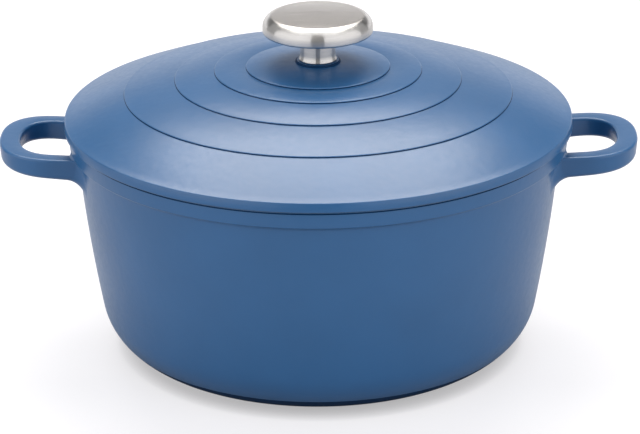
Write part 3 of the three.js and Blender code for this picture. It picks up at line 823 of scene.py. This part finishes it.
def floor_finish():
    """Pale and matte, and lifted to white away from where the oven stands; its glow is lower near
    the oven and dimmed as painted shadow round the foot.
    """
    finish, nodes, links, base = shader("studio_floor")
    base.inputs["Base Color"].default_value = FLOOR_COLOUR
    base.inputs["Roughness"].default_value = 0.9
    base.inputs["Specular IOR Level"].default_value = 0.0
    path = nodes.new("ShaderNodeLightPath")
    place = nodes.new("ShaderNodeTexCoord")
    away = nodes.new("ShaderNodeVectorMath")
    away.operation = "LENGTH"
    links.new(place.outputs["Object"], away.inputs[0])
    far = between(nodes, links, away.outputs["Value"], *FAR_LIFT)
    # painted contact shadow in the glow, from ambient occlusion near the foot
    touch = between(nodes, links, openness(nodes, TOUCH_REACH), *TOUCH_LIFT)
    near = between(nodes, links, openness(nodes, MIRROR_REACH), *MIRROR_LIFT)
    seen = worked(nodes, links, "MULTIPLY", far, touch)
    mirrored = worked(nodes, links, "MULTIPLY", path.outputs["Is Glossy Ray"], near)
    lift = worked(nodes, links, "MULTIPLY_ADD", path.outputs["Is Camera Ray"], seen, mirrored)
    glow = nodes.new("ShaderNodeEmission")
    glow.inputs["Color"].default_value = WHITE
    links.new(lift, glow.inputs["Strength"])
    both = nodes.new("ShaderNodeAddShader")
    links.new(base.outputs["BSDF"], both.inputs[0])
    links.new(glow.outputs["Emission"], both.inputs[1])
    links.new(both.outputs[0], nodes["Material Output"].inputs["Surface"])
    return finish


def sheet(name, corners, finish):
    """A flat sheet of the studio, which isn't part of the oven."""
    bm = bmesh.new()
    bm.faces.new([bm.verts.new(corner) for corner in corners])
    flat = made(name, bm, finish)
    return flat


def level_sheet(name, around, height, finish):
    """A level sheet with its corners at these places of the floor, at a height over it."""
    return sheet(name, [(x, y, height) for x, y in around], finish)


def only_mirrored(flat):
    """A sheet that shows only in reflections."""
    flat.visible_camera = False
    flat.visible_diffuse = False
    flat.visible_shadow = False


def upright_sheet(name, start, end, finish, height, foot=0.0):
    """An upright sheet between two places of the floor, seen only in reflections."""
    corners = [(*start, foot), (*end, foot), (*end, height), (*start, height)]
    only_mirrored(sheet(name, corners, finish))


def white_paper():
    finish, nodes, links, base = shader("white_paper")
    base.inputs["Base Color"].default_value = PAPER_COLOUR
    base.inputs["Roughness"].default_value = 0.9
    path = nodes.new("ShaderNodeLightPath")
    links.new(path.outputs["Is Glossy Ray"], base.inputs["Emission Strength"])
    base.inputs["Emission Color"].default_value = WHITE
    return finish


def grey_card():
    finish, nodes, links, base = shader("grey_card")
    base.inputs["Base Color"].default_value = CARD_COLOUR
    base.inputs["Roughness"].default_value = 1.0
    base.inputs["Specular IOR Level"].default_value = 0.0
    return finish


PAPER = white_paper()
CARD = grey_card()
level_sheet("studio_floor", FLOOR_CORNERS, FLOOR_LEVEL, floor_finish())
upright_sheet("backdrop", (3.0, 2.5), (-3.0, 2.5), PAPER, height=0.80)
upright_sheet("right_paper", (0.40, -1.75), (1.75, 0.30), PAPER, height=1.7)
upright_sheet("left_paper", (-1.75, 0.30), (-0.40, -1.75), PAPER, height=1.7)
only_mirrored(level_sheet("overhead_paper", OVERHEAD_CORNERS, OVERHEAD_HEIGHT, PAPER))
upright_sheet("front_card", (-0.11, -0.46), (0.11, -0.46), CARD, height=1.0)
upright_sheet("back_card", (2.6, 2.2), (-2.6, 2.2), CARD, height=1.75, foot=0.95)


def softbox(name, place, width, depth, power, colour):
    """A soft rectangular lamp that looks at the oven, its power in watts."""
    lamp = bpy.data.lights.new(name, "AREA")
    lamp.shape = "RECTANGLE"
    lamp.size, lamp.size_y = width, depth
    lamp.energy, lamp.color = power, colour
    box = bpy.data.objects.new(name, lamp)
    box.location = place
    aim = Vector(AIM) - Vector(place)
    box.rotation_euler = aim.to_track_quat("-Z", "Y").to_euler()
    box.visible_camera = False
    bpy.context.scene.collection.objects.link(box)


softbox("top_light", (0, 0.80, 1.55), width=1.35, depth=1.05, power=27, colour=WARM)
softbox("right_light", (1.25, -0.87, 0.58), width=1.5, depth=1.10, power=13, colour=NEUTRAL)
softbox("left_light", (-1.25, -0.87, 0.58), width=1.5, depth=1.10, power=13, colour=NEUTRAL)


def studio_world():
    """A pale surround, white where the camera sees it."""
    world = bpy.data.worlds.new("studio")
    world.use_nodes = True
    nodes, links = world.node_tree.nodes, world.node_tree.links
    surround = nodes["Background"]
    surround.inputs["Color"].default_value = SURROUND_COLOUR
    path = nodes.new("ShaderNodeLightPath")
    strength = between(nodes, links, path.outputs["Is Camera Ray"], SURROUND, 1.0, 0.0, 1.0)
    links.new(strength, surround.inputs["Strength"])
    return world


bpy.context.scene.world = studio_world()

# ---------------------------------------------------------------- camera
# It stands in front of the oven and looks down on it through a long lens, turned and rolled
# by a fraction of a degree.

CAMERA_PLACE = (0.0005, -1.4593, 0.6500)
CAMERA_LENS = 165.86
CAMERA_DOWN = 0.37962                     # the angles are in radians
CAMERA_TURN = 0.0036
CAMERA_ROLL = -0.00705

camera = bpy.data.objects.new("camera", bpy.data.cameras.new("camera"))
camera.data.sensor_width = 36
camera.data.lens = CAMERA_LENS
camera.data.clip_start = 0.05
camera.matrix_world = (
    Matrix.Rotation(CAMERA_TURN, 4, "Z")
    @ Matrix.Translation(CAMERA_PLACE)
    @ Matrix.Rotation(math.pi / 2 - CAMERA_DOWN, 4, "X")
    @ Matrix.Rotation(CAMERA_ROLL, 4, "Z")
)
bpy.context.scene.collection.objects.link(camera)
bpy.context.scene.camera = camera
bpy.context.scene.view_settings.view_transform = "Standard"
